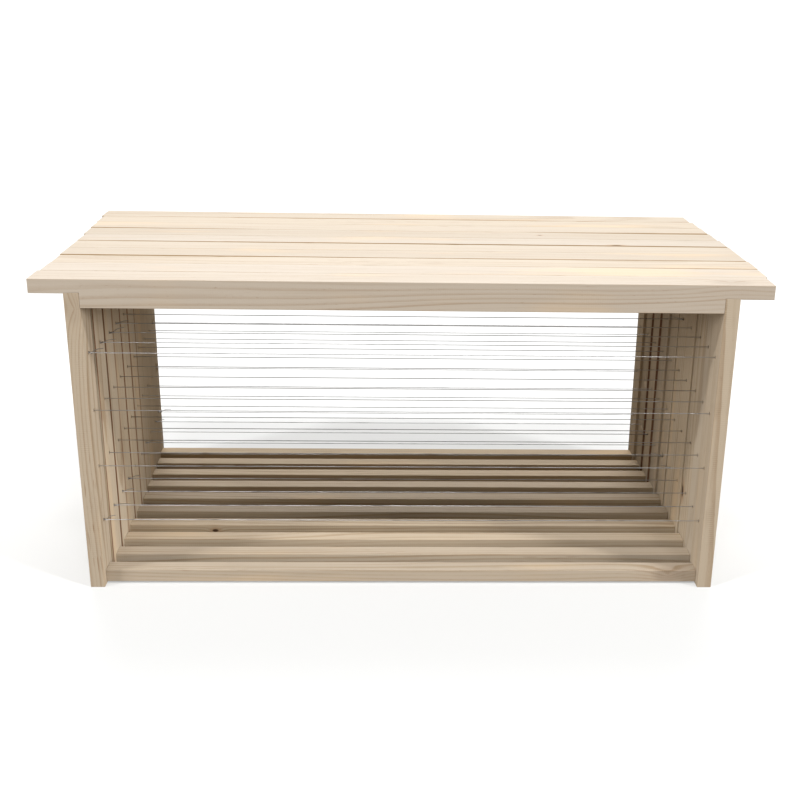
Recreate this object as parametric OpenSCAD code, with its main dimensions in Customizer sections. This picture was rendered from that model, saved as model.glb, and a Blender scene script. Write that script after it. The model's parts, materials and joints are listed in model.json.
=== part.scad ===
// A row of wired wooden hive frames, standing side by side on their feet.
// X runs along the top bars, Y from the front frame to the back one, Z up from the feet.
// The origin is at the centre of the row, on the surface that it stands on.

/* [Row] */
// Number of frames in the row
frame_count = 10; // [1:1:10]

/* [Top bar] */
// Length of a top bar, from lug end to lug end
top_bar_length = 480; // [465:1:485]
// Thickness of a top bar between its lugs
top_bar_height = 19; // [17:0.5:24]
// Thickness of the lugs that hang on a hive's rebates
lug_height = 9.5; // [7:0.5:12]
// Depth of the housing under each lug that the upper end of a side bar is let into
housing_depth = 0.5; // [0.5:0.5:2]
// Width of a frame, front to back, which its top bar and side bars share
frame_width = 25; // [24:0.5:28]
// Width of the groove along the underside that a sheet of foundation's edge goes into
groove_width = 6; // [3:0.5:7]
// Depth of that groove
groove_depth = 3; // [2:0.5:5]

/* [Side bars] */
// Height of a frame, from its feet to the top of its top bar
frame_height = 218; // [214:1:240]
// Width of a frame over its two side bars
body_width = 436; // [430:1:450]
// Thickness of a side bar
side_bar_thickness = 10; // [8:0.5:12]

/* [Bottom bar] */
// Width of a bottom bar, front to back
bottom_bar_width = 13; // [10:0.5:20]
// Thickness of a bottom bar
bottom_bar_height = 9; // [8:0.5:12]
// Height of a bottom bar's underside above the feet
foot_height = 1.5; // [0:0.5:4]

/* [Wire] */
// Diameter of the steel wire
wire_diameter = 0.5; // [0.4:0.05:0.6]
// Diameter of the holes that the wire is laced through
wire_hole_diameter = 2.5; // [2.2:0.1:3]
// Height of the lowest pass of the wire above the feet
lowest_pass = 46; // [40:1:52]
// Height from one pass of the wire to the next
pass_spacing = 40; // [36:1:41]
// Length of the wire's cut end that stands out beside its first and last pass
tail_length = 12; // [6:1:16]

/* [Nails] */
// Diameter of a nail's shank
nail_diameter = 1.2; // [1:0.1:1.6]
// Length of a nail, head included
nail_length = 25; // [20:1:28]
// Diameter of a nail's head
nail_head_diameter = 2.6; // [2.4:0.1:3]
// Thickness of a nail's head
nail_head_height = 0.6; // [0.4:0.1:1]

/* [Hidden] */
$fn = 32;

// Each frame's own gap to the one behind it, and its place to the left or right of the row's middle.
gap_behind = [0.5, 0.4, 0.4, 0.6, 1.0, 0.6, 0.8, 0.4, 0.4, 0];
sideways = [1.5, 3, 3.5, 2.5, 2.5, 2, 0.5, -0.5, -1.5, -3.5];
// The frames whose wire starts and ends at the right side bar, because they are turned end for end.
turned_frames = [5, 6, 8];

// A bore is cut this much past the faces that it opens through.
overcut = 1;
// Room left round the wire and the nails, so that each is a solid of its own.
clearance = 0.05;

pass_count = 4;
// Radius of the wire's bends, measured to its middle.
bend_radius = 1;
// Radius of the stopper loop that keeps each end of the wire from pulling through its hole.
stopper_radius = 2;
// Angle that the wire's cut ends make with the pass beside them.
tail_angle = 14;

// Distance from a frame's middle to the nails of one joint, front to back.
top_nail_offset = 7;
bottom_nail_offset = 3;

bar_top = frame_height;
shoulder_bottom = bar_top - top_bar_height;
lug_bottom = bar_top - lug_height;
outer_face = body_width / 2;
inner_face = outer_face - side_bar_thickness;
side_bar_height = lug_bottom + housing_depth;
top_nail_z = (shoulder_bottom + lug_bottom) / 2;
bottom_nail_z = foot_height + bottom_bar_height / 2;
// The wire's runs up the outside of the side bars lie this far from the middle of the frame.
run_x = outer_face + wire_diameter / 2 + clearance;

function sum_before(list, count) = count <= 0 ? 0 : list[count - 1] + sum_before(list, count - 1);
row_depth = frame_count * frame_width + sum_before(gap_behind, frame_count - 1);
function frame_y(number) =
    (number - 0.5) * frame_width + sum_before(gap_behind, number - 1) - row_depth / 2;
function pass_z(pass) = lowest_pass + pass * pass_spacing;
function is_turned(number) = len(search(number, turned_frames)) > 0;
function piece_name(number, piece) = str("frame_", number < 10 ? "0" : "", number, "_", piece);

PIECES = ["top_bar", "left_side_bar", "right_side_bar", "bottom_bar", "wire", "nails"];

// A block centred on X and Y, standing on z.
module block(length, width, height, z) {
    translate([-length / 2, -width / 2, z])
        cube([length, width, height]);
}

// Something at both ends of a frame: its children are drawn at the right and mirrored to the left.
module both_ends() {
    children();
    mirror([1, 0, 0])
        children();
}

// The four nails of the right-hand joints, each placed at its head and pointing to the frame's middle.
module right_nail_places() {
    for (side = [-1, 1]) {
        translate([outer_face, side * top_nail_offset, top_nail_z])
            rotate([0, -90, 0])
                children();
        translate([outer_face, side * bottom_nail_offset, bottom_nail_z])
            rotate([0, -90, 0])
                children();
    }
}

module nail() {
    cylinder(d = nail_head_diameter, h = nail_head_height);
    cylinder(d = nail_diameter, h = nail_length);
}

// The hole that a nail makes, with its head driven flush.
module nail_hole() {
    translate([0, 0, -overcut])
        cylinder(d = nail_head_diameter + 2 * clearance, h = overcut + nail_head_height + clearance);
    cylinder(d = nail_diameter + 2 * clearance, h = nail_length + clearance);
}

// What is cut away under the right-hand lug between two places along it, up to the given height.
module lug_cut(start, end, top) {
    translate([start, -frame_width / 2 - overcut, shoulder_bottom - overcut])
        cube([end - start, frame_width + 2 * overcut, top - shoulder_bottom + overcut]);
}

// The groove along the underside of the top bar, from one side bar to the other.
module groove() {
    length = 2 * (inner_face + overcut);
    block(length, groove_width, groove_depth + overcut, shoulder_bottom - overcut);
}

module top_bar() {
    color("burlywood")
        difference() {
            block(top_bar_length, frame_width, top_bar_height, shoulder_bottom);
            both_ends() {
                lug_cut(inner_face, top_bar_length / 2 + overcut, lug_bottom);
                lug_cut(inner_face, outer_face, side_bar_height);
            }
            groove();
            both_ends()
                right_nail_places()
                    nail_hole();
        }
}

module right_side_bar() {
    color("wheat")
        difference() {
            translate([inner_face, -frame_width / 2, 0])
                cube([side_bar_thickness, frame_width, side_bar_height]);
            for (pass = [0 : pass_count - 1])
                translate([inner_face - overcut, 0, pass_z(pass)])
                    rotate([0, 90, 0])
                        cylinder(d = wire_hole_diameter, h = side_bar_thickness + 2 * overcut);
            right_nail_places()
                nail_hole();
        }
}

module left_side_bar() {
    mirror([1, 0, 0])
        right_side_bar();
}

module bottom_bar() {
    color("tan")
        difference() {
            block(2 * inner_face, bottom_bar_width, bottom_bar_height, foot_height);
            both_ends()
                right_nail_places()
                    nail_hole();
        }
}

// A quarter bend of the wire that comes in along +X at the origin and leaves along +Z.
module wire_bend() {
    translate([0, 0, bend_radius])
        rotate([90, 0, 0])
            rotate([0, 0, -90])
                rotate_extrude(angle = 90)
                    translate([bend_radius, 0])
                        circle(d = wire_diameter);
}

// The wire's run up the outside of the right side bar, from one pass to the next above it.
module wire_run(pass) {
    bend_start = run_x - bend_radius;
    translate([bend_start, 0, pass_z(pass)])
        wire_bend();
    translate([bend_start, 0, pass_z(pass + 1)])
        mirror([0, 0, 1])
            wire_bend();
    translate([run_x, 0, pass_z(pass) + bend_radius])
        cylinder(d = wire_diameter, h = pass_spacing - 2 * bend_radius);
}

// An end of the wire at the left side bar: a stopper loop outside, and a cut end that comes back inside.
// The cut end is a touch thinner than the pass that it leaves, so that the two join cleanly.
module wire_end(pass) {
    translate([-run_x, 0, pass_z(pass) - stopper_radius])
        rotate([0, 90, 0])
            rotate_extrude()
                translate([stopper_radius, 0])
                    circle(d = wire_diameter);
    translate([-inner_face, 0, pass_z(pass)])
        rotate([0, 90 - tail_angle, 0])
            cylinder(d = wire_diameter - clearance, h = tail_length);
}

module wire() {
    last_pass = pass_count - 1;
    color("silver") {
        for (pass = [0 : last_pass]) {
            left_end = (pass == 0 || pass == last_pass) ? run_x : run_x - bend_radius;
            translate([-left_end, 0, pass_z(pass)])
                rotate([0, 90, 0])
                    cylinder(d = wire_diameter, h = left_end + run_x - bend_radius);
        }
        wire_run(0);
        mirror([1, 0, 0])
            wire_run(1);
        wire_run(2);
        wire_end(0);
        wire_end(last_pass);
    }
}

// Turns what belongs to a frame end for end, if that frame stands so in the row.
module end_for_end(number) {
    rotate([0, 0, is_turned(number) ? 180 : 0])
        children();
}

module nails() {
    color("gray")
        both_ends()
            right_nail_places()
                nail();
}

for (number = [1 : frame_count])
    translate([sideways[number - 1], frame_y(number), 0]) {
        top_bar();
        left_side_bar();
        right_side_bar();
        bottom_bar();
        end_for_end(number) wire();
        nails();
    }
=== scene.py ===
"""Looks of a row of ten wired wooden hive frames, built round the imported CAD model.

Lengths are in metres, unless a comment says otherwise. Each wooden bar is a copy of its CAD node with eased
edges, uneven planing and small dents. The grain comes from one procedural log, and each bar is cut from it
at a place of its own.
"""

import json
import math
import random

import bmesh
import bpy
from mathutils import Matrix, Vector, noise

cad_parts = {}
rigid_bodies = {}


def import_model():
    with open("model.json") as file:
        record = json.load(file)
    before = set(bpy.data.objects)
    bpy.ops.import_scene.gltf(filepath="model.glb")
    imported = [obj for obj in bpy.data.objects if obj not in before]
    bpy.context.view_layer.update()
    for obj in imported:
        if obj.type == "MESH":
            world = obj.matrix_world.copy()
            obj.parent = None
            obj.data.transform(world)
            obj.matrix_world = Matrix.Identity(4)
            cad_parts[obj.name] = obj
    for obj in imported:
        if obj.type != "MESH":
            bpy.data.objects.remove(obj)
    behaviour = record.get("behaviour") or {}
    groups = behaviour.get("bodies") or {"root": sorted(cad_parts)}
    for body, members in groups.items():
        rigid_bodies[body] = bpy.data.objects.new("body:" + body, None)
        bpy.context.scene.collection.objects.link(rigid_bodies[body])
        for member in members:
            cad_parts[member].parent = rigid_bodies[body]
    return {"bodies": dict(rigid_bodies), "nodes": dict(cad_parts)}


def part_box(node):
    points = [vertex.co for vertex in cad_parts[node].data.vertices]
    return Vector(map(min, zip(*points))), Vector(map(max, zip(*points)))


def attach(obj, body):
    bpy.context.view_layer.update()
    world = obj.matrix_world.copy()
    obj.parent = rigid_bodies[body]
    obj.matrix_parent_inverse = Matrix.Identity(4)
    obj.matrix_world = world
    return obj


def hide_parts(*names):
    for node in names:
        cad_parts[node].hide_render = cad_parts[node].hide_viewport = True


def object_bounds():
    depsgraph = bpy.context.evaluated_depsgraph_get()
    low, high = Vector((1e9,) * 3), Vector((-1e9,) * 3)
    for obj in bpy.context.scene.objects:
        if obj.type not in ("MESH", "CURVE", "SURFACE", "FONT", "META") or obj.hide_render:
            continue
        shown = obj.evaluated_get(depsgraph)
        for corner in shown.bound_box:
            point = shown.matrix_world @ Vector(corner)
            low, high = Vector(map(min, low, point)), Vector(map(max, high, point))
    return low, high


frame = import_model()
cad_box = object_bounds()

MM = 0.001
BODIES = sorted(frame["bodies"])
row_low, row_high = cad_box

# The camera, measured from the middle of the row, on the floor.
CAMERA_OFFSET = Vector((-0.0019, -0.8926, 0.3920))
CAMERA_PITCH = math.radians(20.75)
CAMERA_YAW = math.radians(-2.29)
CAMERA_ROLL = math.radians(1.07)
CAMERA_LENS = 54.6
CAMERA_SHIFT = (-0.056, 0.065)

# The suns, as azimuth: (elevation, strength), in degrees and watts per square metre. Azimuth 0 is in front
# of the row and 180 behind it. The keys cast the top bars' shadows equally far back under them.
SUNS = {
    "key": {-60: (46, 1.6), -18: (63, 0.5), 18: (63, 0.5), 60: (46, 1.85)},
    "fill": {-70: (9, 1.4), 70: (9, 2.1)},
    "back": {180: (50, 2.7)},
}
SOFTNESS = {"key": 6, "fill": 14, "back": 35}
SKY_STRENGTH = 0.4

# The floor. The camera sees its own glow and a part that takes light and shadow. What it throws back at the
# row is less than that, and warmer.
FLOOR_GLOW = (0.43, 0.43, 0.42)
FLOOR_SHADOWED = (0.34, 0.34, 0.34)
FLOOR_BOUNCE = (0.19, 0.155, 0.115)
FLOOR_REACH = 300.0

# The kinds of bar: the wood that each is made of, and the axis that it runs along.
BARS = {
    "top_bar": ("top_bar_wood", 0),
    "left_side_bar": ("side_bar_wood", 2),
    "right_side_bar": ("side_bar_wood", 2),
    "bottom_bar": ("bottom_bar_wood", 0),
}

# The woods: the colours of the early and late growth and of the painted shade along joints, the width of a
# growth ring, how strongly the rings and the saw's marks show, and how much painted shade darkens and
# painted bounce light warms each frame's bars beyond those of the frame in front of it, deeper in the row.
WOODS = {
    "top_bar_wood": {
        "early": (0.425, 0.367, 0.3),
        "late": (0.32, 0.243, 0.17),
        "joint_shade": (0.2, 0.115, 0.022),
        "ring_width": 2.6 * MM,
        "rings": 0.75,
        "saw_marks": 0.06,
        "shade_per_frame": 0.016,
        "warm_bounce_per_frame": 0.002,
    },
    "side_bar_wood": {
        "early": (0.41, 0.34, 0.255),
        "late": (0.28, 0.20, 0.125),
        "joint_shade": (0.16, 0.07, 0.028),
        "ring_width": 2.2 * MM,
        "rings": 0.9,
        "saw_marks": 0.3,
        "shade_per_frame": 0.0,
        "warm_bounce_per_frame": 0.008,
    },
    "bottom_bar_wood": {
        "early": (0.42, 0.348, 0.265),
        "late": (0.30, 0.22, 0.135),
        "joint_shade": (0.16, 0.07, 0.028),
        "ring_width": 2.4 * MM,
        "rings": 0.9,
        "saw_marks": 0.25,
        "shade_per_frame": 0.008,
        "warm_bounce_per_frame": 0.022,
    },
}

# The noises that mark the wood: blobs to a metre along the grain, blobs to a metre across it, and detail.
NOISES = {
    "wander": (2.5, 18, 1),
    "ripple": (14, 160, 2),
    "fibres": (22, 900, 3),
    "streaks": (9, 260, 2),
    "pores": (260, 2600, 1),
    "patches": (7, 32, 2),
    "flecks": (50, 900, 1),
    "saw_patches": (30, 60, 2),
    "dirt": (40, 40, 2),
    # The ragged edge of the painted shade along joints.
    "joint_shade_edge": (25, 90, 3),
}
# Where flecks crowd together comes from a noise that is shifted away from the others. The fibres' noise is
# rougher than the rest.
CROWDS = (5, 45, 45)
CROWDS_SHIFT = (31, 7, 3)
FIBRES_ROUGHNESS = 0.6

# How far the rings wander and ripple, how far a knot pushes them aside and how soon that fades. A knot is
# drawn out along the grain.
RING_WANDER = 22 * MM
RING_RIPPLE = 0.9 * MM
KNOT_BULGE = 7 * MM
KNOT_FADING = -0.8
KNOT_STRETCH = (0.55, 1, 1)
SAW_PITCH = 1.5 * MM

# How measures and noises turn into marks: where a mark starts to change, where it stops changing, and its
# strength at the start and at the end.
RAMPS = {
    "ring_strength": (0, 1, 0.25, 1),
    "ring_rise": (0.35, 0.9, 0, 1),
    "ring_fall": (0.9, 1, 1, 0),
    "resin": (0.55, 0.75, 0, 0.45),
    "pores": (0.66, 0.74, 0, 1),
    "pores_in_latewood": (0.05, 0.5, 0.25, 1),
    "flecks": (0.62, 0.7, 0, 1),
    "crowded": (0.6, 0.72, 0, 1),
    "saw_patches": (0.35, 0.65, 0, 1),
    "deep_saw_marks": (0.2, 0.9, 0, 1),
    "hard_latewood": (0.1, 0.5, 0, 1),
    "knot_halo": (0.9, 2.4, 0.5, 0),
    "knot_core": (0.5, 1.1, 1, 0),
    "dirty_edge": (0.2 * MM, 1.3 * MM, 1, 0),
    "uneven_dirt": (0.3, 0.7, 0, 1),
    # Painted shade along joints, a brown band in place of the shadow in the gaps between frames.
    "ragged_joint_shade": (0.3, 0.7, 0.8, 1.2),
    "joint_shade_across": (0.5, 1, 1, 0),
    "joint_shade_strength": (0.1 * MM, 0.5 * MM, 0, 0.85),
    "dull_steel": (0.45, 0.75, 0, 1),
}

# How much each thing adds to the grain, to the roughness and to the relief, and how well each mark covers.
GRAIN = {"streaks": 0.55, "fibres": 0.5, "patches": 0.5}
ROUGHNESS = {"plain": 0.52, "fibres": 0.22, "latewood": -0.12, "end_grain": 0.15}
RELIEF = {"latewood": 0.35, "fibres": 0.8, "pores": -0.8, "end_fibres": 1.2}
RELIEF_DEPTH = 0.12 * MM
RELIEF_STRENGTH = 0.6
COVERS = {"pores": 0.45, "flecks": 0.7, "end_grain": 0.5, "dirt": 0.3}
# The narrowest painted shade along a joint.
NARROWEST_JOINT_SHADE = 0.01 * MM

# The colours of what marks every wood.
RESIN = (0.60, 0.44, 0.27)
PORE = (0.25, 0.16, 0.09)
FLECK = (0.20, 0.11, 0.05)
TORN_LATEWOOD = (0.13, 0.085, 0.045)
KNOT_HALO = (0.30, 0.17, 0.08)
KNOT_CORE = (0.05, 0.025, 0.012)
END_GRAIN = (0.38, 0.27, 0.16)
DIRT = (0.40, 0.30, 0.20)

# The eased edges are the long ones where two faces meet at more than the sharp angle, which is in radians.
EASED_EDGE = 0.25 * MM
SHORTEST_EASED = 5 * MM
SHARP_ANGLE = 0.8
EDGE_REACH = 1.1 * EASED_EDGE
LOOP_SPACING = 6 * MM

# The faces wave in and out, each by its own line of noise, and knocks leave dents in the edges.
UNEVEN_PLANING = 0.15 * MM
WAVES_PER_METRE = 6
SIDES_APART = 7
AXES_APART = 13
DENT_DEPTH = 0.35 * MM
HARMLESS_KNOCK = 0.35
KNOCKS_ALONG = 70
KNOCKS_ACROSS = 900

# How the bars differ: how far from the log's heart each is sawn, in millimetres, the length of log that they
# come from, in metres, and how light and how warm each is.
HEART_DISTANCES = (30, 110)
LOG_LENGTH = 50
LIGHTNESSES = (0.95, 1.03)
WARMTHS = (-0.03, 0.03)
# A face is end grain if its normal points along the bar by more than this.
END_GRAIN_NORMAL = 0.7

# The joints between frames, from the front to the back, in millimetres: how far each stands open beyond the
# CAD model's gap, and how wide the painted shade along its edges is, a brown darkening that stands in for
# the shadow down in the gap. A joint's values are evenly spaced along the bars, from the left or lower end.
OPENINGS = {
    "top_bar": [
        (0,), (0, 0.2), (1.2, 0.3), (0,), (0.1, 0.5, 0.5), (0,), (0.4, 0, 0, 1), (0,), (0, 0.3, 0),
    ],
    "left_side_bar": [(0.5,), (0.8,), (1.8,), (0.8,), (1.6,), (1.8,), (0,), (0,), (0,)],
    "right_side_bar": [(0,), (0,), (0,), (0,), (0,), (0,), (1.4,), (1.4,), (0,)],
}
JOINT_SHADE_WIDTHS = {
    "top_bar": [
        (0,), (0, 0, 0, 0.9), (2.2, 0.5, 1), (0,), (0.6, 1.6, 1.6), (0,), (1.5, 0, 0, 3), (0,),
        (0, 1.3, 0.8, 0),
    ],
    "left_side_bar": [(0.5,), (0.8,), (3.5,), (1.6,), (3,), (4,), (0,), (0,), (0,)],
    "right_side_bar": [(0,), (0,), (0,), (0,), (0,), (0,), (1.8,), (1.8,), (0,)],
}

# The knots: the bar, the knot's place from its middle (along, front to back, up or outwards), its size in
# millimetres and how dark it is. A pale one only turns the grain round itself.
KNOTS = {
    "frame_01_left_side_bar": ((94, -12.5, 1), 7, 0.1),
    "frame_01_top_bar": ((213, -3, 9.5), 9, 0.12),
    "frame_01_bottom_bar": ((188, -6.5, 1), 7, 0.25),
    "frame_03_right_side_bar": ((-61, 10.5, -5), 3.2, 1),
    "frame_04_bottom_bar": ((-144, -6.5, 0), 1.5, 1),
    "frame_06_top_bar": ((157, -11.5, 9.5), 2.6, 0.9),
    "frame_07_top_bar": ((105, 0, 9.5), 0.9, 1),
}
NO_KNOT = ((9000, 0, 0), 1, 0)

# The wire, as in the CAD model.
WIRE_RADIUS = 0.25 * MM
PASS_HEIGHTS = [(46 + 40 * index) * MM for index in range(4)]
RUN_X = 218.3 * MM
INNER_FACE = 208 * MM
BEND_RADIUS = 1 * MM
BEND_STEPS = 4
STOPPER_RADIUS = 2 * MM
STOPPER_ANGLES = (70, -270)
STOPPER_STEPS = 24
TURNED_BODIES = ("frame_05", "frame_06", "frame_08")

# Its cut ends, which the CAD model leaves straight, are wrapped round the pass just inside the side bar. The
# rest of a cut end reaches, lifts, slopes and sways by chance, in millimetres.
TURNS = (1, 1.5)
REACHES = (5, 9)
LIFTS = (1, 2.8)
SLOPES = (-0.6, 1)
SWAYS = (-2, 2)
TAIL_STEPS = 8
WRAP_START = -INNER_FACE + 1 * MM
WRAP_RADIUS = 2.1 * WIRE_RADIUS
WRAP_PITCH = 1.3 * MM
WRAP_STEPS = 10

# The nails: the places of the four at one end of a frame, front to back and up, and a nail's outline as
# (distance from the top of the head, radius) in millimetres.
NAIL_PLACES = [(-7 * MM, 203.75 * MM), (7 * MM, 203.75 * MM), (-3 * MM, 6 * MM), (3 * MM, 6 * MM)]
NAIL_OUTLINE = [
    (0.0, 0.0), (0.02, 0.5), (0.1, 1.1), (0.25, 1.3), (0.5, 1.3), (0.6, 1.15), (0.62, 0.6), (23.0, 0.6),
    (25.0, 0.0),
]
NAIL_SIDES = 20

# The steel's dull patches and scratches to a metre, along its local X and across it, and what they do.
DULL_PATCHES = (60, 400, 400)
SCRATCHES = (900, 5000, 5000)
DULL_ROUGHNESS = 0.25
SCRATCH_ROUGHNESS = 0.12
SCRATCH_DEPTH = 0.02 * MM
SCRATCH_STRENGTH = 0.5


# ---------------------------------------------------------------- camera, light and floor

def shade(red, green, blue):
    return (red, green, blue, 1.0)


def make_camera():
    data = bpy.data.cameras.new("camera")
    data.lens = CAMERA_LENS
    data.shift_x, data.shift_y = CAMERA_SHIFT
    camera = bpy.data.objects.new("camera", data)
    turn = Matrix.Rotation(CAMERA_YAW, 4, "Z")
    turn @= Matrix.Rotation(math.pi / 2 - CAMERA_PITCH, 4, "X")
    turn @= Matrix.Rotation(CAMERA_ROLL, 4, "Z")
    middle = (row_low + row_high) / 2
    place = Vector((middle.x, middle.y, row_low.z)) + CAMERA_OFFSET
    camera.matrix_world = Matrix.Translation(place) @ turn
    bpy.context.scene.collection.objects.link(camera)
    bpy.context.scene.camera = camera


def make_sun(name, azimuth, elevation, strength):
    """A soft sun that shines from the given direction."""
    data = bpy.data.lights.new(name, "SUN")
    data.energy = strength
    data.angle = math.radians(SOFTNESS[name])
    sun = bpy.data.objects.new(name, data)
    turn = Matrix.Rotation(math.radians(azimuth), 4, "Z")
    turn @= Matrix.Rotation(math.radians(90 - elevation), 4, "X")
    sun.matrix_world = turn
    bpy.context.scene.collection.objects.link(sun)


def show_and_light(tree, output, shown, lighting):
    """Shows the camera one shader, and gives every other ray of light another one."""
    ray = tree.nodes.new("ShaderNodeLightPath")
    mix = tree.nodes.new("ShaderNodeMixShader")
    tree.links.new(ray.outputs["Is Camera Ray"], mix.inputs[0])
    tree.links.new(lighting.outputs[0], mix.inputs[1])
    tree.links.new(shown.outputs[0], mix.inputs[2])
    tree.links.new(mix.outputs[0], output.inputs["Surface"])


def make_studio():
    """A white backdrop that lights the row more dimly than it looks."""
    world = bpy.data.worlds.new("studio")
    world.use_nodes = True
    tree = world.node_tree
    tree.nodes.clear()
    output = tree.nodes.new("ShaderNodeOutputWorld")
    shown = tree.nodes.new("ShaderNodeBackground")
    shown.inputs["Color"].default_value = shade(1, 1, 1)
    lighting = tree.nodes.new("ShaderNodeBackground")
    lighting.inputs["Color"].default_value = shade(1, 1, 1)
    lighting.inputs["Strength"].default_value = SKY_STRENGTH
    show_and_light(tree, output, shown, lighting)
    bpy.context.scene.world = world
    bpy.context.scene.view_settings.view_transform = "Standard"


def make_floor():
    """A pale floor that reaches the horizon."""
    corners = [(x * FLOOR_REACH, y * FLOOR_REACH, 0) for x, y in ((-1, -1), (1, -1), (1, 1), (-1, 1))]
    mesh = bpy.data.meshes.new("floor")
    mesh.from_pydata(corners, [], [(0, 1, 2, 3)])
    floor = bpy.data.objects.new("floor", mesh)
    floor.location.z = row_low.z
    bpy.context.scene.collection.objects.link(floor)
    material = bpy.data.materials.new("pale_floor")
    material.use_nodes = True
    tree = material.node_tree
    tree.nodes.clear()
    output = tree.nodes.new("ShaderNodeOutputMaterial")
    shown = tree.nodes.new("ShaderNodeBsdfPrincipled")
    shown.inputs["Base Color"].default_value = shade(*FLOOR_SHADOWED)
    shown.inputs["Roughness"].default_value = 0.9
    shown.inputs["Specular IOR Level"].default_value = 0
    shown.inputs["Emission Color"].default_value = shade(*FLOOR_GLOW)
    shown.inputs["Emission Strength"].default_value = 1
    lighting = tree.nodes.new("ShaderNodeBsdfDiffuse")
    lighting.inputs["Color"].default_value = shade(*FLOOR_BOUNCE)
    show_and_light(tree, output, shown, lighting)
    mesh.materials.append(material)


# ---------------------------------------------------------------- materials

class Graph:
    """A material's node tree, with short ways to add a node and join it up."""

    def __init__(self, name):
        self.material = bpy.data.materials.new(name)
        self.material.use_nodes = True
        self.tree = self.material.node_tree
        self.tree.nodes.clear()
        self.surface = self.tree.nodes.new("ShaderNodeBsdfPrincipled")
        output = self.tree.nodes.new("ShaderNodeOutputMaterial")
        self.tree.links.new(self.surface.outputs[0], output.inputs["Surface"])

    def join(self, value, socket):
        """Sets a socket to a constant, or links another node's output to it."""
        if isinstance(value, bpy.types.NodeSocket):
            self.tree.links.new(value, socket)
        elif value is not None:
            socket.default_value = value

    def attribute(self, name, output="Vector"):
        node = self.tree.nodes.new("ShaderNodeAttribute")
        node.attribute_name = name
        return node.outputs[output]

    def math(self, operation, first, second=None, third=None, clamp=False):
        node = self.tree.nodes.new("ShaderNodeMath")
        node.operation = operation
        node.use_clamp = clamp
        for value, socket in zip((first, second, third), node.inputs):
            self.join(value, socket)
        return node.outputs[0]

    def product(self, *values):
        result = values[0]
        for value in values[1:]:
            result = self.math("MULTIPLY", result, value)
        return result

    def plus(self, base, value, amount, clamp=False):
        """The base plus an amount of the value."""
        return self.math("MULTIPLY_ADD", value, amount, base, clamp)

    def centred(self, value):
        """A value from 0 to 1, moved to between -0.5 and 0.5."""
        return self.math("SUBTRACT", value, 0.5)

    def vector(self, operation, first, second=None, output=0):
        node = self.tree.nodes.new("ShaderNodeVectorMath")
        node.operation = operation
        self.join(first, node.inputs[0])
        self.join(second, node.inputs[1])
        return node.outputs[output]

    def parts(self, vector):
        node = self.tree.nodes.new("ShaderNodeSeparateXYZ")
        self.join(vector, node.inputs[0])
        return node.outputs

    def noise(self, vector, detail=2.0, roughness=0.5):
        """Noise from 0 to 1, about one blob to a unit."""
        node = self.tree.nodes.new("ShaderNodeTexNoise")
        node.inputs["Scale"].default_value = 1
        node.inputs["Detail"].default_value = detail
        node.inputs["Roughness"].default_value = roughness
        self.join(vector, node.inputs["Vector"])
        return node.outputs[0]

    def random_of(self, value):
        node = self.tree.nodes.new("ShaderNodeTexWhiteNoise")
        node.noise_dimensions = "1D"
        self.join(value, node.inputs["W"])
        return node.outputs["Value"]

    def ramp(self, value, name):
        """Turns a value into the strength of a mark, by the ramp of that name."""
        node = self.tree.nodes.new("ShaderNodeMapRange")
        node.interpolation_type = "SMOOTHSTEP"
        for socket, number in zip(("From Min", "From Max", "To Min", "To Max"), RAMPS[name]):
            node.inputs[socket].default_value = number
        self.join(value, node.inputs["Value"])
        return node.outputs[0]

    def mix(self, share, first, second, blend="MIX"):
        node = self.tree.nodes.new("ShaderNodeMix")
        node.data_type = "RGBA"
        node.blend_type = blend
        self.join(share, node.inputs[0])
        self.join(first, node.inputs[6])
        self.join(second, node.inputs[7])
        return node.outputs[2]

    def bump(self, height, distance, strength):
        node = self.tree.nodes.new("ShaderNodeBump")
        node.inputs["Strength"].default_value = strength
        node.inputs["Distance"].default_value = distance
        self.join(height, node.inputs["Height"])
        self.join(node.outputs[0], self.surface.inputs["Normal"])


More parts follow.
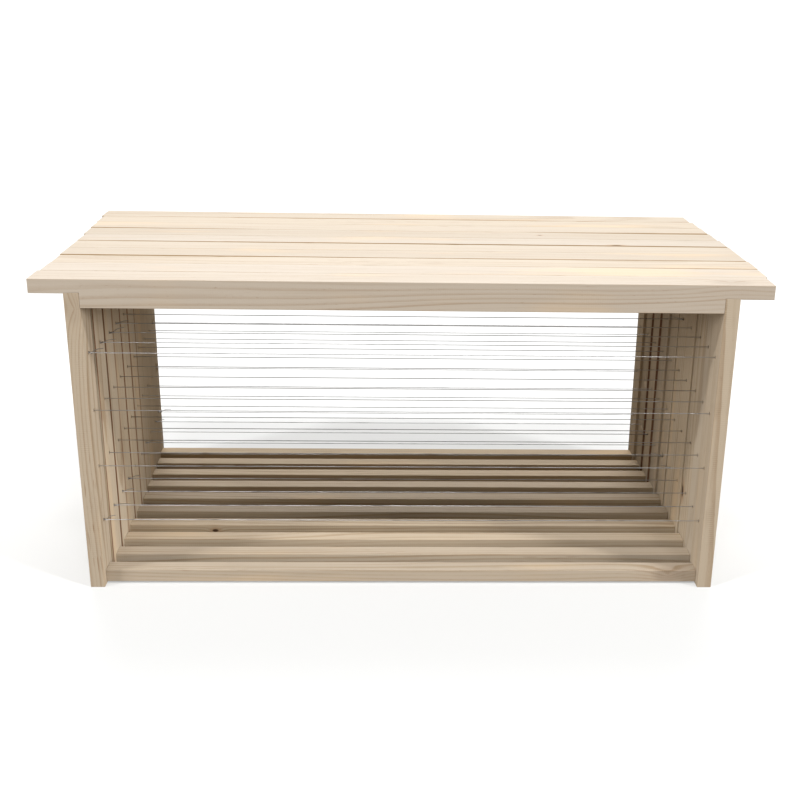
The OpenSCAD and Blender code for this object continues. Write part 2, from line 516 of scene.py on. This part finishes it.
class Wood(Graph):
    """Pale softwood, its colour laid on in layers.

    Each point of a bar's mesh says where it is in the bar (place), where the bar is in the log (log), the
    way from the knot (knot), the knot's size and darkness (size), how wide the painted shade along the joint
    is (joint_shade) and the bar's tone with painted shade that deepens towards the back of the row
    (tone_and_shade). Each face says whether it is end grain (end_grain).
    """

    def __init__(self, name, half_size):
        super().__init__(name)
        look = WOODS[name]
        place = self.attribute("place")
        self.log = self.vector("ADD", place, self.attribute("log"))
        self.end_grain = self.attribute("end_grain", "Fac")
        rooms = self.parts(self.vector("SUBTRACT", half_size, self.vector("ABSOLUTE", place)))
        self.from_edge = self.math("MAXIMUM", rooms[1], rooms[2])
        self.find_knot()
        self.grow_rings(look["ring_width"])
        self.lay_grain(look["early"], look["late"], look["rings"])
        self.lay_flecks()
        self.saw(look["saw_marks"])
        self.lay_knot()
        self.lay(self.product(self.end_grain, COVERS["end_grain"]), END_GRAIN)
        self.lay_dirt()
        # Painted shade: brown bands along some joints stand in for the shadow down in the gaps between
        # frames.
        self.paint_joint_shade(look["joint_shade"])
        # The tone also carries painted shade, darker and warmer towards the back of the row.
        toned_and_shaded = self.mix(1.0, self.colour, self.attribute("tone_and_shade"), "MULTIPLY")
        self.join(toned_and_shaded, self.surface.inputs["Base Color"])
        self.roughen(look["saw_marks"])

    def blobs(self, name, roughness=0.5):
        """One of the noises, drawn out along the grain of the log."""
        along, across, detail = NOISES[name]
        return self.noise(self.vector("MULTIPLY", self.log, (along, across, across)), detail, roughness)

    def lay(self, share, colour):
        """Covers a share of what has been laid so far with a colour."""
        self.colour = self.mix(share, self.colour, shade(*colour))

    def find_knot(self):
        """Measures the distance from the knot, drawn out along the grain, in units of the knot's size."""
        way = self.vector("MULTIPLY", self.attribute("knot"), KNOT_STRETCH)
        size, self.knot_darkness = self.parts(self.attribute("size"))[:2]
        self.knot_distance = self.math("DIVIDE", self.vector("LENGTH", way, output="Value"), size)

    def grow_rings(self, width):
        """Rings round the heart of the log. They wander slowly along it, and a knot pushes them aside."""
        wander = self.centred(self.blobs("wander"))
        self.ripple = self.centred(self.blobs("ripple"))
        bulge = self.math("EXPONENT", self.product(self.knot_distance, KNOT_FADING))
        axes = self.parts(self.log)
        squares = self.math("ADD", self.product(axes[1], axes[1]), self.product(axes[2], axes[2]))
        radius = self.math("SQRT", squares)
        radius = self.plus(radius, wander, RING_WANDER)
        radius = self.plus(radius, self.ripple, RING_RIPPLE)
        radius = self.plus(radius, bulge, KNOT_BULGE)
        rings = self.math("DIVIDE", radius, width)
        phase = self.math("FRACT", rings)
        strength = self.ramp(self.random_of(self.math("FLOOR", rings)), "ring_strength")
        rise = self.ramp(phase, "ring_rise")
        fall = self.ramp(phase, "ring_fall")
        self.latewood = self.product(rise, fall, strength)

    def lay_grain(self, early, late, rings):
        """Growth rings, fibres and streaks, then resin in broad patches and dark pores."""
        self.fibres = self.blobs("fibres", FIBRES_ROUGHNESS)
        streaks = self.blobs("streaks")
        patches = self.blobs("patches")
        share = self.product(self.latewood, rings)
        share = self.plus(share, self.centred(streaks), GRAIN["streaks"])
        share = self.plus(share, self.centred(self.fibres), GRAIN["fibres"])
        share = self.plus(share, self.centred(patches), GRAIN["patches"], clamp=True)
        self.colour = self.mix(share, shade(*early), shade(*late))
        self.lay(self.ramp(patches, "resin"), RESIN)
        pores = self.ramp(self.blobs("pores"), "pores")
        self.pores = self.product(pores, self.ramp(self.latewood, "pores_in_latewood"))
        self.lay(self.product(self.pores, COVERS["pores"]), PORE)

    def lay_flecks(self):
        """Short brown flecks, crowded in some places and absent from most."""
        flecks = self.ramp(self.blobs("flecks"), "flecks")
        crowds = self.vector("ADD", self.vector("MULTIPLY", self.log, CROWDS), CROWDS_SHIFT)
        crowded = self.ramp(self.noise(crowds, detail=1), "crowded")
        self.lay(self.product(flecks, crowded, COVERS["flecks"]), FLECK)

    def saw(self, strength):
        """The saw's marks cross the grain, and show as rows of dashes where they tear the hard latewood."""
        along = self.plus(self.parts(self.log)[0], self.ripple, RING_RIPPLE)
        marks = self.math("SINE", self.product(along, 2 * math.pi / SAW_PITCH))
        self.saw_marks = self.product(marks, self.ramp(self.blobs("saw_patches"), "saw_patches"))
        torn = self.ramp(self.saw_marks, "deep_saw_marks")
        dashes = self.product(torn, self.ramp(self.latewood, "hard_latewood"))
        self.lay(self.product(dashes, strength), TORN_LATEWOOD)

    def lay_knot(self):
        """A hard dark core with a brown halo."""
        halo = self.ramp(self.knot_distance, "knot_halo")
        core = self.ramp(self.knot_distance, "knot_core")
        self.lay(self.product(halo, self.knot_darkness), KNOT_HALO)
        self.lay(self.product(core, self.knot_darkness), KNOT_CORE)

    def lay_dirt(self):
        """Long edges pick up a little dirt, unevenly."""
        edges = self.ramp(self.from_edge, "dirty_edge")
        uneven = self.ramp(self.blobs("dirt"), "uneven_dirt")
        self.lay(self.product(edges, uneven, COVERS["dirt"]), DIRT)

    def paint_joint_shade(self, colour):
        """Painted shade: a ragged brown darkening along the edges of some joints, in place of the shadow in
        the gaps between frames.
        """
        width = self.attribute("joint_shade", "Fac")
        ragged = self.ramp(self.blobs("joint_shade_edge"), "ragged_joint_shade")
        reach = self.product(self.math("MAXIMUM", width, NARROWEST_JOINT_SHADE), ragged)
        joint_shade = self.ramp(self.math("DIVIDE", self.from_edge, reach), "joint_shade_across")
        strength = self.ramp(width, "joint_shade_strength")
        self.lay(self.product(joint_shade, strength), colour)

    def roughen(self, saw_marks):
        """Gloss and relief: raised fibres, hard latewood, open pores and saw marks."""
        rough = self.plus(ROUGHNESS["plain"], self.fibres, ROUGHNESS["fibres"])
        rough = self.plus(rough, self.latewood, ROUGHNESS["latewood"])
        rough = self.plus(rough, self.end_grain, ROUGHNESS["end_grain"])
        self.join(rough, self.surface.inputs["Roughness"])
        height = self.product(self.latewood, RELIEF["latewood"])
        height = self.plus(height, self.fibres, RELIEF["fibres"])
        height = self.plus(height, self.pores, RELIEF["pores"])
        height = self.plus(height, self.saw_marks, saw_marks)
        height = self.plus(height, self.product(self.end_grain, self.fibres), RELIEF["end_fibres"])
        self.bump(height, RELIEF_DEPTH, RELIEF_STRENGTH)
        self.surface.inputs["IOR"].default_value = 1.45
        self.surface.inputs["Specular IOR Level"].default_value = 0.35


def steel(name, bright, dull, roughness):
    """Drawn steel with fine scratches and a few dull patches."""
    graph = Graph(name)
    coordinates = graph.tree.nodes.new("ShaderNodeTexCoord").outputs["Object"]
    patches = graph.noise(graph.vector("MULTIPLY", coordinates, DULL_PATCHES), detail=3)
    scratches = graph.noise(graph.vector("MULTIPLY", coordinates, SCRATCHES), detail=1)
    dullness = graph.ramp(patches, "dull_steel")
    graph.join(graph.mix(dullness, shade(*bright), shade(*dull)), graph.surface.inputs["Base Color"])
    graph.surface.inputs["Metallic"].default_value = 1
    rough = graph.plus(roughness, dullness, DULL_ROUGHNESS)
    rough = graph.plus(rough, scratches, SCRATCH_ROUGHNESS)
    graph.join(rough, graph.surface.inputs["Roughness"])
    graph.bump(scratches, SCRATCH_DEPTH, SCRATCH_STRENGTH)
    return graph.material


# ---------------------------------------------------------------- wooden bars

def box_of(node):
    """The middle and the half size of a CAD node's box."""
    low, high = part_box(node)
    return (low + high) / 2, (high - low) / 2


def along_grain(vector, along):
    """The vector's numbers in the order of a bar: along it, front to back, and the third way."""
    order = (0, 1, 2) if along == 0 else (2, 1, 0)
    return Vector([vector[axis] for axis in order])


def eased_bar(node, along):
    """A bmesh of the node, its long outer edges eased, with loops across it for the uneven planing."""
    bar = bmesh.new()
    bar.from_mesh(frame["nodes"][node].data)
    bmesh.ops.remove_doubles(bar, verts=bar.verts, dist=0.001 * MM)
    bmesh.ops.dissolve_limit(bar, angle_limit=math.radians(1), verts=bar.verts, edges=bar.edges)
    outer = []
    for edge in bar.edges:
        is_long = edge.is_manifold and edge.calc_length() > SHORTEST_EASED
        if is_long and edge.calc_face_angle_signed() > SHARP_ANGLE:
            outer.append(edge)
    bmesh.ops.bevel(bar, geom=outer, offset=EASED_EDGE, segments=2, profile=0.5, affect="EDGES",
                    clamp_overlap=False)
    middle, half = box_of(node)
    normal = Vector((0, 0, 0))
    normal[along] = 1
    count = int(2 * half[along] / LOOP_SPACING)
    for index in range(1, count):
        place = middle.copy()
        place[along] += half[along] * (2 * index / count - 1)
        everything = bar.verts[:] + bar.edges[:] + bar.faces[:]
        bmesh.ops.bisect_plane(bar, geom=everything, plane_co=place, plane_no=normal)
    return bar


def between(values, share):
    """The value at a share of the way along evenly spaced values."""
    if len(values) == 1:
        return values[0]
    place = share * (len(values) - 1)
    index = min(max(int(place), 0), len(values) - 2)
    return values[index] + (values[index + 1] - values[index]) * (place - index)


def at_joint(table, body, kind, behind, share):
    """What a table says of the joint in front of a bar or behind it, at a share of the way along the bar."""
    joint = BODIES.index(body) - (0 if behind else 1)
    if kind not in table or not 0 <= joint < len(BODIES) - 1:
        return 0.0
    return between(table[kind][joint], share) * MM


def plane_unevenly(bar, body, kind, along, dice):
    """Moves the long faces inwards by a little that changes along the bar, and puts dents in the edges."""
    middle, half = box_of(f"{body}_{kind}")
    seed = Vector((dice.uniform(-99, 99), dice.uniform(-99, 99), 0))
    across = [axis for axis in range(3) if axis != along]
    for vertex in bar.verts:
        local = vertex.co - middle
        edges_near = 0
        moves = {}
        for axis in across:
            side = 1 if local[axis] > 0 else -1
            share = abs(local[axis]) / half[axis]
            own_line = side * SIDES_APART + axis * AXES_APART
            wave = noise.noise(seed + Vector((local[along] * WAVES_PER_METRE, own_line, 0)))
            hollow = UNEVEN_PLANING * (0.5 + 0.5 * wave)
            if axis == 1:
                way_along = 0.5 + 0.5 * local[along] / half[along]
                hollow += at_joint(OPENINGS, body, kind, side > 0, way_along) / 2
            moves[axis] = -side * share * hollow
            edges_near += abs(local[axis]) > half[axis] - EDGE_REACH
        if edges_near == 2:
            first, second = [local[axis] * KNOCKS_ACROSS for axis in across]
            knock = noise.noise(seed + Vector((local[along] * KNOCKS_ALONG, first, second)))
            dent = DENT_DEPTH * max(0.0, knock - HARMLESS_KNOCK)
            for axis in across:
                moves[axis] -= math.copysign(dent, local[axis])
        for axis, move in moves.items():
            vertex.co[axis] += move


def store(mesh, name, vectors):
    attribute = mesh.attributes.new(name, "FLOAT_VECTOR", "POINT")
    attribute.data.foreach_set("vector", [value for vector in vectors for value in vector])


def joint_shade_width(body, kind, place, half_length):
    """How wide the painted shade along the joints is at a place in a bar. Only the row's top and its inside
    have any.
    """
    shaded_side = -1 if kind == "right_side_bar" else 1
    if place.z * shaded_side <= 0:
        return 0.0
    share = 0.5 + 0.5 * place.x / half_length
    behind = place.y > 0
    return at_joint(JOINT_SHADE_WIDTHS, body, kind, behind, share) + at_joint(OPENINGS, body, kind, behind, share) / 2


def mark_wood(mesh, body, kind, dice):
    """Stores in a bar's mesh what its wood needs to know about each point and face."""
    slot, along = BARS[kind]
    node = f"{body}_{kind}"
    middle, half = box_of(node)
    places = [along_grain(vertex.co - middle, along) for vertex in mesh.vertices]
    store(mesh, "place", places)
    angle = dice.uniform(0, 2 * math.pi)
    heart = dice.uniform(*HEART_DISTANCES) * MM
    log = Vector((dice.uniform(0, LOG_LENGTH), heart * math.cos(angle), heart * math.sin(angle)))
    store(mesh, "log", [log] * len(places))
    frames_in_front = BODIES.index(body)
    # Painted shade: bars further back in the row are darker and warmer, as from shade and bounce light, by
    # how many frames stand in front; the rest of the tone differs at random.
    lightness_and_shade = dice.uniform(*LIGHTNESSES) - WOODS[slot]["shade_per_frame"] * frames_in_front
    warmth_and_bounce = dice.uniform(*WARMTHS) + WOODS[slot]["warm_bounce_per_frame"] * frames_in_front
    tone_and_shade = (lightness_and_shade * (1 + warmth_and_bounce / 2), lightness_and_shade, lightness_and_shade * (1 - warmth_and_bounce))
    store(mesh, "tone_and_shade", [tone_and_shade] * len(places))
    knot_place, knot_size, knot_darkness = KNOTS.get(node, NO_KNOT)
    store(mesh, "knot", [place - Vector(knot_place) * MM for place in places])
    store(mesh, "size", [(knot_size * MM, knot_darkness, 0)] * len(places))
    # How wide the painted shade along the joints is at each point.
    joint_shade = mesh.attributes.new("joint_shade", "FLOAT", "POINT")
    joint_shade.data.foreach_set("value", [joint_shade_width(body, kind, place, half[along]) for place in places])
    end_grain = mesh.attributes.new("end_grain", "FLOAT", "FACE")
    is_end = [float(abs(face.normal[along]) > END_GRAIN_NORMAL) for face in mesh.polygons]
    end_grain.data.foreach_set("value", is_end)


def add_piece(name, data, material, body, node):
    """Links a piece of the object, which rides on a body in place of its CAD node."""
    data.materials.append(material)
    piece = bpy.data.objects.new(name, data)
    bpy.context.scene.collection.objects.link(piece)
    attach(piece, body)
    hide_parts(node)


def make_bar(body, kind, material):
    """One wooden bar of a frame."""
    slot, along = BARS[kind]
    node = f"{body}_{kind}"
    dice = random.Random(node)
    bar = eased_bar(node, along)
    plane_unevenly(bar, body, kind, along, dice)
    mesh = bpy.data.meshes.new(f"{node}_wood")
    bar.to_mesh(mesh)
    bar.free()
    mark_wood(mesh, body, kind, dice)
    add_piece(f"{node}_wood", mesh, material, body, node)


# ---------------------------------------------------------------- wires and nails

def arc(centre, radius, start, end, steps, plane):
    """Points round an arc, angles in degrees; plane names the two axes that the arc turns in."""
    points = []
    for step in range(steps + 1):
        angle = math.radians(start + (end - start) * step / steps)
        point = Vector(centre)
        point[plane[0]] += radius * math.cos(angle)
        point[plane[1]] += radius * math.sin(angle)
        points.append(point)
    return points


def twisted_end(height, dice):
    """From the tip of a cut end, along its turns round the pass, out of the hole and round the stopper."""
    reach = dice.uniform(*REACHES) * MM
    lift = dice.uniform(*LIFTS) * MM
    slope = dice.uniform(*SLOPES) * MM
    sway = dice.uniform(*SWAYS) * MM
    turns = dice.choice(TURNS)
    wrap_end = WRAP_START + turns * WRAP_PITCH
    points = []
    for step in range(TAIL_STEPS + 1):
        share = 1 - step / TAIL_STEPS
        rise = lift * (1 - (1 - share) ** 3) + slope * share
        points.append(Vector((wrap_end + reach * share, sway * share, height + WRAP_RADIUS + rise)))
    steps = int(turns * WRAP_STEPS)
    for step in range(1, steps + 1):
        angle = math.pi / 2 - 2 * math.pi * turns * step / steps
        x = wrap_end + (WRAP_START - wrap_end) * step / steps
        points.append(Vector((x, WRAP_RADIUS * math.cos(angle), height + WRAP_RADIUS * math.sin(angle))))
    middle = (-RUN_X, 0, height - STOPPER_RADIUS)
    return points + arc(middle, STOPPER_RADIUS, *STOPPER_ANGLES, STOPPER_STEPS, (1, 2))


def lace(dice):
    """The whole wire of a frame, from one cut end to the other, both at the left side bar."""
    points = twisted_end(PASS_HEIGHTS[0], dice)
    side = 1
    for low, high in zip(PASS_HEIGHTS, PASS_HEIGHTS[1:]):
        bend_x = side * (RUN_X - BEND_RADIUS)
        lower = arc((bend_x, 0, low + BEND_RADIUS), BEND_RADIUS, -90, 0, BEND_STEPS, (0, 2))
        upper = arc((bend_x, 0, high - BEND_RADIUS), BEND_RADIUS, 0, 90, BEND_STEPS, (0, 2))
        if side < 0:
            for point in lower + upper:
                point.x = 2 * bend_x - point.x
        points += lower + upper
        side = -side
    return points + twisted_end(PASS_HEIGHTS[-1], dice)[::-1]


def make_wire(body, material):
    """The steel wire of a frame, as one curve."""
    node = f"{body}_wire"
    middle = box_of(node)[0]
    turn = -1 if body in TURNED_BODIES else 1
    points = lace(random.Random(node))
    curve = bpy.data.curves.new(f"{node}_steel", "CURVE")
    curve.dimensions = "3D"
    curve.bevel_depth = WIRE_RADIUS
    curve.bevel_resolution = 2
    curve.use_fill_caps = True
    spline = curve.splines.new("POLY")
    spline.points.add(len(points) - 1)
    for target, point in zip(spline.points, points):
        target.co = (middle.x + turn * point.x, middle.y + turn * point.y, point.z, 1)
    add_piece(f"{node}_steel", curve, material, body, node)


def nail_mesh():
    """A mesh of a wire nail that points along +X from its head: a domed head, a shank and a cut point."""
    nail = bmesh.new()
    rings = []
    for x, radius in NAIL_OUTLINE:
        if radius == 0:
            rings.append([nail.verts.new((x * MM, 0, 0))])
            continue
        last_angle = 360 * (1 - 1 / NAIL_SIDES)
        circle = arc((x * MM, 0, 0), radius * MM, 0, last_angle, NAIL_SIDES - 1, (1, 2))
        rings.append([nail.verts.new(point) for point in circle])
    for near, far in zip(rings, rings[1:]):
        for index in range(NAIL_SIDES):
            corners = [near[index % len(near)], near[(index + 1) % len(near)],
                       far[(index + 1) % len(far)], far[index % len(far)]]
            nail.faces.new(list(dict.fromkeys(corners)))
    bmesh.ops.recalc_face_normals(nail, faces=nail.faces)
    mesh = bpy.data.meshes.new("one_nail")
    nail.to_mesh(mesh)
    nail.free()
    return mesh


def make_nails(body, material):
    """The eight nails of a frame, driven in from both sides."""
    node = f"{body}_nails"
    dice = random.Random(node)
    middle, half = box_of(node)
    nails = bmesh.new()
    for side in (-1, 1):
        for y, z in NAIL_PLACES:
            place = Vector((middle.x + side * half.x, middle.y + y, z))
            turn = Matrix.Rotation(0 if side < 0 else math.pi, 4, "Z")
            spin = Matrix.Rotation(dice.uniform(0, 2 * math.pi), 4, "X")
            nail = nail_mesh()
            nail.transform(Matrix.Translation(place) @ turn @ spin)
            nails.from_mesh(nail)
            bpy.data.meshes.remove(nail)
    mesh = bpy.data.meshes.new(f"{node}_steel")
    nails.to_mesh(mesh)
    nails.free()
    add_piece(f"{node}_steel", mesh, material, body, node)


# ---------------------------------------------------------------- put together

make_camera()
for name, places in SUNS.items():
    for azimuth, (elevation, strength) in places.items():
        make_sun(name, azimuth, elevation, strength)
make_studio()
make_floor()

woods = {}
for kind, (slot, along) in BARS.items():
    if slot not in woods:
        half_size = along_grain(box_of(f"{BODIES[0]}_{kind}")[1], along)
        woods[slot] = Wood(slot, half_size).material
for body in BODIES:
    for kind, (slot, along) in BARS.items():
        make_bar(body, kind, woods[slot])

wire_steel = steel("wire_steel", bright=(0.42, 0.42, 0.43), dull=(0.17, 0.17, 0.17), roughness=0.3)
nail_steel = steel("nail_steel", bright=(0.5, 0.49, 0.47), dull=(0.26, 0.22, 0.18), roughness=0.35)
for body in BODIES:
    make_wire(body, wire_steel)
    make_nails(body, nail_steel)
